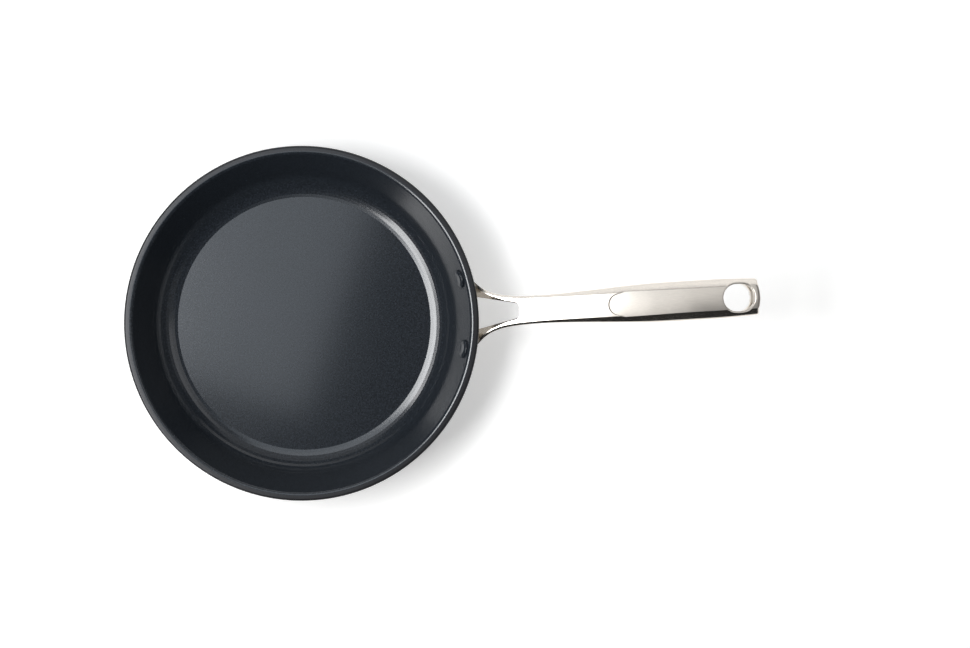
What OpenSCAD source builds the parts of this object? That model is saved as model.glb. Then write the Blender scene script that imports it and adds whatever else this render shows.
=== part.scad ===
// Frying pan with a coated aluminium body and a hollow steel handle that is riveted on.
// Millimetres, +Z up. The origin is the centre of the base's underside, and the handle runs along +X.

/* [Pan body] */
// Diameter over the rolled lip
rim_d = 248; // [238:1:264]
// Height from the underside to the top of the lip
pan_h = 48; // [44:1:56]
// Distance across from the lip's outer edge to the edge of the flat inside floor
wall_run = 34.5; // [31:0.5:40]
// Thickness of the wall
wall_t = 3; // [2.5:0.1:3.6]
// Thickness of the floor
floor_t = 4.5; // [3.5:0.1:6]
// Radius inside, between floor and wall
corner_r = 17; // [13:1:20]
// Radius outside, between base and wall
heel_r = 16; // [11:1:18]
// Width of the lip, from the top of its inside corner to its outer edge
lip_w = 3.3; // [2.7:0.1:4]
// Radius of the lip's outer bead
lip_r = 2; // [1.6:0.1:2.4]
// Radius of the lip's inside corner
lip_corner_r = 2.6; // [2:0.1:3.4]
// Radius of the hollow under the lip
under_lip_r = 2.5; // [1.5:0.1:3]

/* [Coating] */
// Thickness of the non-stick layer, drawn thicker than the real one
coating_t = 0.3; // [0.2:0.05:0.5]

/* [Induction plate] */
// How far the steel plate in the underside stops inside the edge of the flat inside floor
plate_inset = 9.5; // [4:0.5:24]
// Thickness of the steel plate
plate_t = 1; // [0.8:0.1:1.5]
// How far the plate stands proud of the aluminium
plate_proud = 0.3; // [0.1:0.1:0.5]
// Width of each ring groove in the plate
groove_w = 2; // [1.2:0.1:3]
// Depth of each ring groove
groove_depth = 0.4; // [0.2:0.1:0.5]
// Number of ring grooves
groove_count = 3; // [1:1:5]

/* [Rivets] */
// Distance between the two rivets
rivet_pitch = 49; // [44:1:50]
// Depth of the rivet centres below the top of the lip, on the inside
rivet_drop = 9; // [8.5:0.5:12]
// Diameter of the heads inside the pan
head_d = 12.9; // [10:0.1:14]
// Thickness of the heads inside the pan
head_t = 1.6; // [1.2:0.1:2.2]
// Diameter of the shanks
shank_d = 5.4; // [4.5:0.1:6]
// Diameter of the closed ends on the flange
tail_d = 8.4; // [7.4:0.1:9]
// Height of the closed ends
tail_t = 2; // [1.4:0.1:2.6]

/* [Flange] */
// Width of the flange across the wall
flange_w = 66; // [62:1:72]
// Height of the flange
flange_h = 17; // [15:0.5:20]
// Depth of the flange's top edge below the top of the lip
flange_drop = 6; // [5.8:0.1:7]
// Thickness of the flange
flange_t = 3; // [2.5:0.1:3.5]
// Corner radius of the flange
flange_corner_r = 7; // [3:0.5:7.4]

/* [Fork] */
// Length of the gap between the prongs, from the lip outwards
fork_gap_len = 28.6; // [22:0.2:32]
// Width of the gap at the lip
gap_root_w = 22; // [16:0.2:22.6]
// Width of the gap at its far end
gap_end_w = 9.8; // [6:0.2:11]
// Width over both prongs where their outer edges come out from under the lip
root_w = 44.6; // [44:0.2:48]
// Length over which the prongs flare out towards the pan
flare_len = 10.4; // [9.6:0.1:12]
// Extra half-width of the valley between the prongs, at the lip
valley_run = 7.4; // [5:0.1:7.8]
// Length over which the valley closes
valley_len = 7.6; // [5:0.1:8.4]
// Slope of the valley's sides
valley_slope = 45; // [35:1:52]

/* [Handle] */
// Length of the handle outside the lip
handle_len = 194.7; // [180:1:215]
// Depth of the prongs' top below the top of the lip, at the lip
root_drop = 5.2; // [5:0.1:6.5]
// Height of the handle's end above the top of the lip
handle_rise = 32; // [20:1:45]
// Slope of the top line at the lip
root_slope = 25; // [18:1:30]
// Slope of the top line at the end
end_slope = -1; // [-4:0.5:3]
// Width of the neck
neck_w = 19.4; // [18.6:0.2:22]
// Width across the palm
palm_w = 27.6; // [25:0.2:31]
// Width at the end
end_w = 25.2; // [23.4:0.2:27.6]
// Distance from the lip to the neck
neck_at = 38; // [34:1:42]
// Distance from the handle's end back to the full palm width
palm_back = 63.7; // [50:0.1:84]
// Distance from the handle's end back to where it starts to narrow
taper_back = 35.7; // [27:0.1:46]
// Width of the side facet at the neck
neck_facet = 1.2; // [0.8:0.1:2]
// Width of the side facet at the palm
palm_facet = 5.3; // [4:0.1:6]
// Height of the top half at the neck
neck_top_h = 6.4; // [5.6:0.1:8]
// Height of the top half at the palm
palm_top_h = 7.8; // [6.6:0.1:9]
// Depth of the bottom half at the neck
neck_under_h = 5.6; // [4.8:0.1:7]
// Depth of the bottom half at the palm
palm_under_h = 8.4; // [7:0.1:10]
// Depth of the bottom half at the end
end_under_h = 6; // [5:0.1:8]
// Height of the crown across the top face
crown_h = 0.5; // [0.2:0.1:1]
// Thickness of the steel shells
shell_t = 1.5; // [1.2:0.1:1.8]
// Distance from the lip to the butt weld between fork and grip
joint_at = 44; // [43:1:50]
// Length of the fork's tongue inside the grip
tongue_len = 16; // [10:1:24]
// How far the end bows outwards
end_bow = 2.3; // [1:0.1:3.4]
// Rounding of the end's edges
end_round = 2.2; // [1.5:0.1:2.6]

/* [Thumb step] */
// Distance from the lip to the middle of the step
step_at = 88; // [80:1:100]
// Height of the step
step_h = 0.6; // [0.3:0.1:0.9]
// How far the step's line sweeps back at its two ends
step_sweep = 8; // [4:0.5:10]

/* [Hanging hole] */
// Distance from the handle's end back to the hole's axis
hole_back = 16.1; // [15.3:0.1:26]
// Diameter of the hole
hole_d = 19; // [15:0.2:19.6]
// Wall of the sleeve that lines the hole
sleeve_t = 1.1; // [0.9:0.1:1.4]
// How far the hole's top edge reaches towards the end
mouth_run = 3.6; // [2:0.1:3.8]
// Depth of that longer mouth
mouth_depth = 4; // [3:0.1:5]

/* [Hidden] */
$fn = 96;

// Clearances and the overrun that cuts share
seat_gap = 0.15;
weld_gap = 0.1;
shank_gap = 0.15;
bed_gap = 0.05;
spot_gap = 0.6;
spot_depth = 0.3;
cut_over = 1;
arc_step = 6;
dome_step = 15;
mouth_sides = 32;

// Levels and radii of the pan
rim_r = rim_d / 2;
floor_r = rim_r - wall_run;
plate_r = floor_r - plate_inset;
base_z = plate_proud;
floor_z = base_z + floor_t;

// The wall runs straight between the inside corner's circle and the lip corner's circle
corner_c = [floor_r, floor_z + corner_r];
lip_corner_c = [rim_r - lip_w, pan_h - lip_corner_r];
corner_to_lip = lip_corner_c - corner_c;
wall_slope = atan2(corner_to_lip.y, corner_to_lip.x)
    + asin((corner_r + lip_corner_r) / norm(corner_to_lip));
wall_out = [sin(wall_slope), -cos(wall_slope)];
wall_up = [cos(wall_slope), sin(wall_slope)];

// Distances of the wall's surfaces from the inside corner's centre
metal_in = corner_r + coating_t;
metal_out = metal_in + wall_t;
flange_in = metal_out + seat_gap;
flange_out = flange_in + flange_t;

// Radius of a wall surface at a height
function wall_r(depth, z) = corner_c.x + (depth + cos(wall_slope) * (z - corner_c.y)) / sin(wall_slope);

// Points along an arc from angle a to angle b
function arc(c, r, a, b) = let (n = ceil(abs(b - a) / arc_step))
    [for (i = [0:n]) c + r * [cos(a + (b - a) * i / n), sin(a + (b - a) * i / n)]];

// Outer bead of the lip and the hollow under it
bead_c = [rim_r - lip_r, pan_h - lip_r];
bead_off = (bead_c - corner_c) * wall_out - metal_out;
hollow_off = under_lip_r - bead_off;
hollow_down = sqrt(pow(lip_r + under_lip_r, 2) - pow(hollow_off, 2));
hollow_c = bead_c + wall_out * hollow_off - wall_up * hollow_down;
bead_dir = atan2(bead_c.y - hollow_c.y, bead_c.x - hollow_c.x);

// Outside corner between base and wall
heel_c = [wall_r(metal_out - heel_r, base_z + heel_r), base_z + heel_r];

// Rivets
rivet_z = pan_h - rivet_drop;
rivet_r = wall_r(corner_r, rivet_z);
rivet_turn = asin(rivet_pitch / 2 / rivet_r);
hole_rivet_d = shank_d + 2 * shank_gap;
head_lift = pow(head_d / 2, 2) * sin(wall_slope) / (2 * rivet_r) + bed_gap;
tail_seat = flange_out - corner_r - spot_depth;

// Places along the handle
end_x = rim_r + handle_len;
neck_x = rim_r + neck_at;
palm_x = end_x - palm_back;
taper_x = end_x - taper_back;
joint_x = rim_r + joint_at;
step_x = rim_r + step_at;
hole_x = end_x - hole_back;
root_x = sqrt(pow(rim_r, 2) - pow(root_w / 2, 2));
gap_end_x = rim_r + fork_gap_len;
root_z = pan_h - root_drop;
end_z = pan_h + handle_rise;
sleeve_r = hole_d / 2 + sleeve_t;

// Shape of the handle's section, as shares of its sizes
crown_shares = [-1, -0.7, -0.36, 0, 0.36, 0.7, 1];
facet_bulge_share = 0.16;
facet_knee_share = 0.4;
thumb_run_share = 0.7;
edge_soft = 0.6;
side_flat = 0.4;
under_power = 2.5;
station_power = 1.5;
path_last = 12;

// A smooth rise from 0 to 1
function ease(t) = let (c = min(1, max(0, t))) c * c * (3 - 2 * c);

// Top line of the handle in the side view, a cubic between the lip and the end
function top_z(x) = let (t = (x - rim_r) / handle_len)
    root_z * (2 * t * t * t - 3 * t * t + 1)
    + end_z * (3 * t * t - 2 * t * t * t)
    + handle_len * tan(root_slope) * (t * t * t - 2 * t * t + t)
    + handle_len * tan(end_slope) * (t * t * t - t * t);

function palm_share(x) = ease((x - neck_x) / (palm_x - neck_x));
function end_share(x) = pow(max(0, (x - taper_x) / (end_x - taper_x)), 2);
function end_loss(x) = (palm_w - end_w) / 2 * end_share(x);
function flare(x) = (root_w - neck_w) / 2 * exp(-max(0, x - root_x) / flare_len);

// Half the handle's width, half its top face's width, and the heights of its two halves
function half_w(x) = neck_w / 2 + (palm_w - neck_w) / 2 * palm_share(x) - end_loss(x) + flare(x);
function top_half(x) = half_w(x) - neck_facet - (palm_facet - neck_facet) * palm_share(x) + end_loss(x);
function top_h(x) = neck_top_h + (palm_top_h - neck_top_h) * palm_share(x);
function under_h(x) = neck_under_h + (palm_under_h - neck_under_h) * palm_share(x)
    - (palm_under_h - end_under_h) * end_share(x);
function seam_z(x) = top_z(x) - top_h(x);

function signed_power(v, p) = sign(v) * pow(abs(v), p);
function backwards(list) = [for (i = [len(list) - 1:-1:0]) list[i]];

// Top half of a section, from one side to the other, as [y, height above the seam].
// trim draws it in all round, and drop lowers the top face.
function top_path(x, trim, drop) =
    let (w = half_w(x) - trim, h = top_h(x) - trim, t = top_half(x) - trim, run = w - t)
    let (knee = [w - run * facet_bulge_share, h * facet_knee_share])
    let (side = [[w, 0], knee, [t + edge_soft / 2, h - edge_soft]])
    concat(
        [for (p = side) [-p.x, p.y]],
        [for (s = crown_shares) [s * (t - edge_soft), h + crown_h * (1 - s * s) - drop]],
        backwards(side));

// Bottom half of a section, likewise
function under_path(x, trim) = let (w = half_w(x) - trim, h = under_h(x) - trim)
    [for (i = [0:path_last]) let (a = 180 * i / path_last)
        [-w * signed_power(cos(a), 2 / under_power), -h * pow(sin(a), 2 / under_power)]];

// One point of a section in the part's frame. sweep moves the outer points of a section along the handle.
function placed(x, p, sweep) = [x + sweep * min(1, pow(p.x / top_half(x), 2)), p.x, seam_z(x) + p.y];

// Two triangles of a ring's end cap, split so that a flat underside leaves none without area
function cap_pair(j, n) = j < n / 4 - 1
    ? [[j, j + 1, n - 1 - j], [j + 1, n - 2 - j, n - 1 - j]]
    : [[j, j + 1, n - 2 - j], [j, n - 2 - j, n - 1 - j]];

// Closed body through rings of points. Each ring is a path across the top and one back underneath.
module loft(rings) {
    n = len(rings[0]);
    last = (len(rings) - 1) * n;
    sides = [for (k = [0:len(rings) - 2], j = [0:n - 1])
        let (a = k * n + j, b = k * n + (j + 1) % n) each [[a, b, b + n], [a, b + n, a + n]]];
    start = [for (j = [0:n / 2 - 2]) each [for (t = cap_pair(j, n)) backwards(t)]];
    finish = [for (j = [0:n / 2 - 2]) each [for (t = cap_pair(j, n)) [for (i = t) last + i]]];
    polyhedron([for (r = rings) each r], concat(sides, start, finish), convexity = 8);
}

// Solid handle section as one ring. flat is the height of the flat along each side.
function solid_ring(x, trim, flat, drop = 0, sweep = 0) = concat(
    [for (p = top_path(x, trim, drop)) placed(x, p + [0, flat / 2], sweep)],
    backwards([for (p = under_path(x, trim)) placed(x, p - [0, flat / 2], sweep)]));

// Stations along the grip:
// [place, how much the step sweeps it, how deep the thumb face lies, trim, inside left open]
before_step = 7;
after_step = 15;
end_turns = 4;
step_ramp = 0.9;
end_wall = 1;
round_x = end_x - end_round;
cavity_x = round_x - end_wall;
grip_stations = concat(
    [for (i = [0:before_step]) let (s = i / before_step)
        [joint_x + weld_gap + (step_x - joint_x - weld_gap) * s, pow(s, 4), 0, 0, 1]],
    [for (i = [0:after_step]) let (s = i / after_step)
        let (x = step_x + step_ramp + (cavity_x - step_x - step_ramp) * s)
        [x, pow(1 - s, 4), 1 - ease(s / thumb_run_share), 0, 1]],
    [[round_x, 0, 0, 0, 0]],
    [for (i = [1:end_turns]) let (a = 90 * i / end_turns)
        [round_x + end_round * sin(a), 0, 0, end_round * (1 - cos(a)), 0]]);

// How far a station's outer points move: back along the step, and in from the bowed end
function sweep_of(s) = step_sweep * s[1] - end_bow * ease((s[0] - hole_x) / (end_x - hole_x));

// Half of the grip as a thin shell.
// path is the outer skin, and the inner skin is drawn in by the shell's thickness.
function shell_ring(s, path, h, gap) = let (
    w = half_w(s[0]) - s[3],
    across = (w - shell_t) / w,
    up = s[4] * (h - shell_t) / h)
    concat(
        [for (p = path) placed(s[0], p + [0, gap], sweep_of(s))],
        backwards([for (p = path) placed(s[0], [p.x * across, p.y * up + gap], sweep_of(s))]));

// The handle's outer form near its end, as a solid
module end_form() {
    loft([for (s = grip_stations) if (s[0] > hole_x - palm_w)
        solid_ring(s[0], s[3], weld_gap, step_h * s[2], sweep_of(s))]);
}

// The room that the sleeve takes, grown by extra all round
module sleeve_room(extra) {
    top = top_z(hole_x) + crown_h;
    translate([hole_x, 0, seam_z(hole_x) - palm_under_h - cut_over])
        cylinder(r = sleeve_r + extra, h = palm_top_h + palm_under_h + 2 * cut_over + crown_h);
    sleeve_mouth(sleeve_r + extra, top);
}

// The mouth that leans towards the handle's end
module sleeve_mouth(r, top) {
    hull() {
        translate([hole_x, 0, top - mouth_depth])
            cylinder(r = r, h = seat_gap, $fn = mouth_sides);
        translate([hole_x + mouth_run, 0, top])
            cylinder(r = r, h = cut_over, $fn = mouth_sides);
    }
}

// Puts its children at a rivet, with +Z running outwards along the shank from the coated wall
module at_rivet(side) {
    turn = side * rivet_turn;
    translate([rivet_r * cos(turn), rivet_r * sin(turn), rivet_z])
        rotate([0, 180 - wall_slope, turn])
            children();
}

module rivet_holes() {
    for (side = [-1, 1])
        at_rivet(side)
            cylinder(d = hole_rivet_d, h = 2 * (flange_out - corner_r + cut_over), center = true);
}

// Forged vessel with a rolled lip and a shallow seat for the plate
module pan_body() {
    color("#3b3b3d")
        difference() {
            rotate_extrude()
                polygon(concat(
                    [[0, plate_t + weld_gap], [plate_r + weld_gap, plate_t + weld_gap],
                        [plate_r + weld_gap, base_z]],
                    arc(heel_c, heel_r, -90, wall_slope - 90),
                    arc(hollow_c, under_lip_r, wall_slope + 90, bead_dir),
                    arc(bead_c, lip_r, bead_dir - 180, 90),
                    [[lip_corner_c.x, pan_h]],
                    arc(lip_corner_c, lip_corner_r - coating_t, 90, wall_slope + 90),
                    arc(corner_c, metal_in, wall_slope - 90, -90),
                    [[0, floor_z - coating_t]]));
            rivet_holes();
        }
}

// Ceramic layer over the floor, the wall and the lip's inside corner
module nonstick_coating() {
    color("#2b3038")
        difference() {
            rotate_extrude()
                polygon(concat(
                    [[0, floor_z - coating_t]],
                    arc(corner_c, metal_in, -90, wall_slope - 90),
                    arc(lip_corner_c, lip_corner_r - coating_t, wall_slope + 90, 90),
                    arc(lip_corner_c, lip_corner_r, 90, wall_slope + 90),
                    arc(corner_c, corner_r, wall_slope - 90, -90),
                    [[0, floor_z]]));
            rivet_holes();
        }
}

// Magnetic steel disc with ring grooves
module induction_plate() {
    groove_pitch = plate_r / (groove_count + 1);
    color("#a8a8a6")
        rotate_extrude()
            polygon(concat(
                [[0, 0]],
                [for (i = [1:groove_count]) let (r = i * groove_pitch, w = groove_w / 2) each
                    [[r - w, 0], [r - w / 2, groove_depth], [r + w / 2, groove_depth], [r + w, 0]]],
                [[plate_r, 0], [plate_r, plate_t], [0, plate_t]]));
}

// Plate that hugs the wall under the lip
module flange() {
    low = pan_h - flange_drop - flange_h;
    high = pan_h - flange_drop;
    intersection() {
        rotate_extrude()
            polygon([
                [wall_r(flange_in, low - cut_over), low - cut_over],
                [wall_r(flange_out, low - cut_over), low - cut_over],
                [wall_r(flange_out, high + cut_over), high + cut_over],
                [wall_r(flange_in, high + cut_over), high + cut_over]]);
        rotate([90, 0, 90])
            linear_extrude(height = rim_d)
                translate([0, (low + high) / 2])
                    round_rect(flange_w, flange_h, flange_corner_r);
    }
}

module round_rect(w, h, r) {
    square([w - 2 * r, h], center = true);
    square([w, h - 2 * r], center = true);
    for (x = [-1, 1], y = [-1, 1])
        translate([x * (w / 2 - r), y * (h / 2 - r)])
            circle(r = r);
}

// Half-width of the gap, and how far the valley's edge lies outside it.
// The valley fades out before the gap's end, where its edge has risen clear of the crowned top.
valley_fade = crown_h + edge_soft / 2;
function gap_half(x) = gap_root_w / 2 - (gap_root_w - gap_end_w) / 2 * (x - rim_r) / fork_gap_len;
function valley_width(x) = (valley_run + valley_fade) * exp(-max(0, x - rim_r) / valley_len) - valley_fade;

// What lies between the prongs: the gap right through, with the valley's sloping sides above.
// A ring goes up one side and down the other, so its caps are level strips.
gap_steps = 12;
fork_start_x = rim_r - root_w / 2;
function gap_ring(x) =
    let (g = gap_half(x), v = valley_width(x))
    let (top = top_z(x), low = top - top_h(x) - under_h(x) - cut_over)
    let (corner = [g, top - v * tan(valley_slope)])
    let (edge = [g + v + cut_over, top + cut_over * tan(valley_slope)])
    [[x, -g, low], [x, -corner.x, corner.y], [x, -edge.x, edge.y],
        [x, edge.x, edge.y], [x, corner.x, corner.y], [x, g, low]];

module fork_gap() {
    loft(concat(
        [gap_ring(fork_start_x - cut_over)],
        [for (i = [0:gap_steps]) gap_ring(rim_r + fork_gap_len * pow(i / gap_steps, station_power))]));
}

// Cast fork: flange, prongs, neck, and the tongue that the grip is welded over
module handle_bracket() {
    fork_steps = 18;
    tongue_steps = 4;
    mid_flange = (flange_in + flange_out) / 2;
    color("#d9d7d2")
        difference() {
            union() {
                flange();
                difference() {
                    union() {
                        loft(concat(
                            [solid_ring(fork_start_x, 0, side_flat)],
                            [for (i = [0:fork_steps])
                                let (x = root_x + (joint_x - root_x) * pow(i / fork_steps, station_power))
                                solid_ring(x, 0, side_flat)]));
                        loft([for (i = [0:tongue_steps])
                            let (x = joint_x - shell_t + (tongue_len + shell_t) * i / tongue_steps)
                            solid_ring(x, shell_t + seat_gap + side_flat, side_flat)]);
                    }
                    fork_gap();
                    cylinder(r1 = wall_r(mid_flange, 0), r2 = wall_r(mid_flange, pan_h), h = pan_h);
                }
            }
            rivet_holes();
            for (side = [-1, 1])
                at_rivet(side)
                    translate([0, 0, tail_seat])
                        cylinder(d = tail_d + spot_gap, h = flange_h);
        }
}

// Pressed top half of the grip, with the thumb step
module handle_top_shell() {
    color("#e6e3dd")
        difference() {
            loft([for (s = grip_stations)
                shell_ring(s, top_path(s[0], s[3], step_h * s[2]), top_h(s[0]) - s[3], weld_gap / 2)]);
            sleeve_room(weld_gap);
        }
}

// Pressed bottom half of the grip
module handle_bottom_shell() {
    color("#c9c6c0")
        difference() {
            loft([for (s = grip_stations)
                shell_ring(s, backwards(under_path(s[0], s[3])), under_h(s[0]) - s[3], -weld_gap / 2)]);
            sleeve_room(weld_gap);
        }
}

// Sleeve that closes the hollow grip round the hanging hole
module hang_hole_sleeve() {
    top = top_z(hole_x) + crown_h;
    color("#f0eee9")
        intersection() {
            difference() {
                sleeve_room(0);
                translate([hole_x, 0, 0])
                    cylinder(d = hole_d, h = 2 * end_z);
                sleeve_mouth(hole_d / 2, top);
            }
            end_form();
        }
}

// Solid rivet: a flat coated head inside the pan, the shank, and the closed end on the flange
module rivet(side) {
    head_r = head_d / 2;
    tail_r = tail_d / 2;
    flat_share = 0.7;
    rim_share = 0.4;
    dome_share = 0.2;
    seat = tail_seat + bed_gap;
    at_rivet(side)
        rotate_extrude()
            polygon(concat(
                [[0, -head_lift - head_t], [head_r * flat_share, -head_lift - head_t],
                    [head_r, -head_lift - head_t * rim_share], [head_r, -head_lift],
                    [shank_d / 2, -head_lift], [shank_d / 2, seat], [tail_r, seat]],
                [for (a = [0:dome_step:90])
                    [tail_r * cos(a), seat + tail_t * (dome_share + (1 - dome_share) * sin(a))]]));
}

module rivet_left() {
    color("#2d3138")
        rivet(1);
}

module rivet_right() {
    color("#2d3138")
        rivet(-1);
}

pan_body();
nonstick_coating();
induction_plate();
handle_bracket();
handle_top_shell();
handle_bottom_shell();
hang_hole_sleeve();
rivet_left();
rivet_right();
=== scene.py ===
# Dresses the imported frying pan: fine surfaces, finishes, a white studio table and the camera above it.
# Sizes in the dictionaries are millimetres and degrees; a finished piece is scaled to metres.
import math
import bpy
import bmesh
from mathutils import Matrix, Vector


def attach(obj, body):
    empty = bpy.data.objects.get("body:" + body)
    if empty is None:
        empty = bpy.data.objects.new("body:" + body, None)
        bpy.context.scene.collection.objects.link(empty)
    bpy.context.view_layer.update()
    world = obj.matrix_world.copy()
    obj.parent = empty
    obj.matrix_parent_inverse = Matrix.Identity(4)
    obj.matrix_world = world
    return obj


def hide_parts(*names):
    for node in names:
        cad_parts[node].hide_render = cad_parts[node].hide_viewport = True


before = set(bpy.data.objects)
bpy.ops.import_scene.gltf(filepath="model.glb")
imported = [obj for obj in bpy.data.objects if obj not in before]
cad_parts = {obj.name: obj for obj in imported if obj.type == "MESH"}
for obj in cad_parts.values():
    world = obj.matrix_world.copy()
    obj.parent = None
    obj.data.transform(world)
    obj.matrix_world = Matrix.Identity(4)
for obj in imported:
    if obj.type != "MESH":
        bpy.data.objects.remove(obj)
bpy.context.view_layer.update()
scene = bpy.context.scene
scene.view_settings.view_transform = "Standard"  # whites of the photograph stay white

# Camera: straight above, a long lens, with the handle turned a little clockwise
view = {"place": (127.9, -8.0, 2752), "turn": -3.35, "lens": 143.8, "sensor": 36, "farthest": 50000}
cameraData = bpy.data.cameras.new("camera")
cameraData.lens = view["lens"]
cameraData.sensor_width = view["sensor"]
cameraData.clip_end = view["farthest"] / 1000
camera = bpy.data.objects.new("camera", cameraData)
camera.location = Vector(view["place"]) / 1000
camera.rotation_euler = (0, 0, math.radians(view["turn"]))
scene.collection.objects.link(camera)
scene.camera = camera
print("camera placed")

# Helpers that all pieces share
meshing = {
    "merge": 1e-4,        # points closer than this become one
    "sliver": 2e-3,       # shorter edges are taken out after a cut
    "sharpFrom": 32,      # a steeper edge is shaded sharp
    "arcStep": 6,         # degrees between the points of an arc
    "arcLeast": 3,        # steps that even a short arc gets
    "cornerSteps": 3,     # steps of a rounded corner
    "cornerShare": 0.49,  # the most that a rounded corner takes of each side
}
tiny = 1e-6
quarter = math.pi / 2


def pick(values, *names):
    return [values[name] for name in names]


def shares(count):
    # even steps from 0 to 1
    return [i / count for i in range(count + 1)]


def ease(t):
    # 0 to 1 with a soft start and a soft end
    t = min(1, max(0, t))
    return t * t * (3 - 2 * t)


def fade(distance, run):
    # 1 up to a place, dying away behind it
    return math.exp(-max(0, distance) / run)


def hexColour(code):
    # sRGB hex to the linear values that shaders take
    parts = [int(code[i:i + 2], 16) / 255 for i in (1, 3, 5)]
    return [p / 12.92 if p <= 0.04045 else ((p + 0.055) / 1.055) ** 2.4 for p in parts] + [1]


def addNode(material, kind, settings=None, inputs=None):
    # one shader node, with its settings, and its inputs set or linked
    node = material.node_tree.nodes.new(kind)
    for name, value in (settings or {}).items():
        setattr(node, name, value)
    for name, value in (inputs or {}).items():
        socket = node.inputs[name]
        if isinstance(value, bpy.types.NodeSocket):
            material.node_tree.links.new(value, socket)
        else:
            socket.default_value = value
    return node


def newMaterial(name):
    material = bpy.data.materials.new(name)
    material.use_nodes = True
    return material, material.node_tree.nodes["Principled BSDF"]


def link(material, output, target):
    material.node_tree.links.new(output, target)


def shadeSmooth(mesh, sharp=meshing["sharpFrom"]):
    mesh.shade_smooth()
    mesh.set_sharp_from_angle(angle=math.radians(sharp))


def finishPiece(name, bm, material, slotName, *nodes, sharp=meshing["sharpFrom"], merge=meshing["merge"]):
    # closes a bmesh in millimetres into a smooth piece in metres that stands for CAD nodes
    bmesh.ops.remove_doubles(bm, verts=bm.verts, dist=merge)
    bmesh.ops.delete(bm, geom=[e for e in bm.edges if not e.link_faces], context="EDGES")
    bmesh.ops.recalc_face_normals(bm, faces=bm.faces)
    bmesh.ops.scale(bm, vec=(0.001, 0.001, 0.001), verts=bm.verts)
    mesh = bpy.data.meshes.new(name)
    bm.to_mesh(mesh)
    bm.free()
    shadeSmooth(mesh, sharp)
    mesh.materials.append(material)
    piece = bpy.data.objects.new(name, mesh)
    scene.collection.objects.link(piece)
    if nodes:
        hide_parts(*nodes)
        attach(piece, "root")
    return piece


def onlyVerts(geom):
    return [g for g in geom if isinstance(g, bmesh.types.BMVert)]


def everything(bm):
    return bm.verts[:] + bm.edges[:] + bm.faces[:]


def spinProfile(moves, steps):
    # draws a profile of (radius, height) points and (centre, radius, from, to) arcs, closes it
    # and turns it about the upright axis
    bm = bmesh.new()
    last = None
    for move in moves:
        isArc = len(move) == 4
        if isArc:
            centre, radius, start, end = move
            turn = math.radians(start)
            point = (centre[0] + radius * math.cos(turn), centre[1] + radius * math.sin(turn))
        else:
            point = move
        vert = bm.verts.new((point[0], 0, point[1]))
        if last:
            bm.edges.new((last, vert))
        if isArc:
            arcSteps = max(meshing["arcLeast"], round(abs(end - start) / meshing["arcStep"]))
            made = bmesh.ops.spin(bm, geom=[vert], axis=(0, 1, 0), cent=(centre[0], 0, centre[1]),
                                  dvec=(0, 0, 0), angle=-math.radians(end - start), steps=arcSteps,
                                  use_merge=False, use_duplicate=False)
            vert = onlyVerts(made["geom_last"])[0]
        last = vert
    bm.verts.ensure_lookup_table()
    if last.co.x > tiny or bm.verts[0].co.x > tiny:
        bm.edges.new((last, bm.verts[0]))
    bmesh.ops.spin(bm, geom=bm.verts[:] + bm.edges[:], axis=(0, 0, 1), cent=(0, 0, 0), dvec=(0, 0, 0),
                   angle=2 * math.pi, steps=steps, use_merge=True, use_duplicate=False)
    bmesh.ops.remove_doubles(bm, verts=bm.verts, dist=meshing["merge"])
    bmesh.ops.recalc_face_normals(bm, faces=bm.faces)
    return bm


def extrudeTo(bm, edges, ring):
    # extrudes edges so that each new vertex lands on its own point of the next ring
    order = bm.verts.layers.int["order"]
    made = bmesh.ops.extrude_edge_only(bm, edges=edges)["geom"]
    fresh = set(onlyVerts(made))
    for v in fresh:
        v.co = ring[v[order]]
    return [g for g in made if isinstance(g, bmesh.types.BMEdge) and all(v in fresh for v in g.verts)]


def loftRings(bm, rings):
    # a skin through rings of points; its two ends stay open
    order = bm.verts.layers.int.new("order")
    verts = [bm.verts.new(p) for p in rings[0]]
    for j, v in enumerate(verts):
        v[order] = j
    first = [bm.edges.new(pair) for pair in zip(verts, verts[1:] + verts[:1])]
    last = first
    for ring in rings[1:]:
        last = extrudeTo(bm, last, ring)
    return first, last


def capRing(bm, edges):
    bmesh.ops.triangulate(bm, faces=bmesh.ops.contextual_create(bm, geom=edges)["faces"])


def softened(points, rounds, steps=meshing["cornerSteps"]):
    # a path with some corners drawn round; rounds = {point: reach}
    path = []
    for i, p in enumerate(points):
        if i not in rounds:
            path.append(p)
            continue
        here = Vector(p)
        back, on = Vector(points[i - 1]) - here, Vector(points[(i + 1) % len(points)]) - here
        a = here + back.normalized() * min(rounds[i], back.length * meshing["cornerShare"])
        b = here + on.normalized() * min(rounds[i], on.length * meshing["cornerShare"])
        for t in shares(steps):
            path.append(tuple(a * (1 - t) ** 2 + here * 2 * t * (1 - t) + b * t * t))
    return path


def cutWith(piece, cutters, operation="DIFFERENCE"):
    # applies a boolean of each cutter to the piece, removes the cutters and clears up the cut edges
    for cutter in cutters:
        modifier = piece.modifiers.new("cut", "BOOLEAN")
        modifier.operation = operation
        modifier.solver = "EXACT"
        modifier.object = cutter
    graph = bpy.context.evaluated_depsgraph_get()
    mesh = bpy.data.meshes.new_from_object(piece.evaluated_get(graph))
    piece.modifiers.clear()
    old = piece.data
    piece.data = mesh
    bpy.data.meshes.remove(old)
    for cutter in cutters:
        bpy.data.objects.remove(cutter)
    bm = bmesh.new()
    bm.from_mesh(mesh)
    bmesh.ops.dissolve_degenerate(bm, dist=meshing["sliver"] / 1000, edges=bm.edges)
    bmesh.ops.triangulate(bm, faces=[f for f in bm.faces if len(f.verts) > 4])
    bm.to_mesh(mesh)
    bm.free()
    mesh.name = piece.name
    shadeSmooth(mesh)


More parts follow.
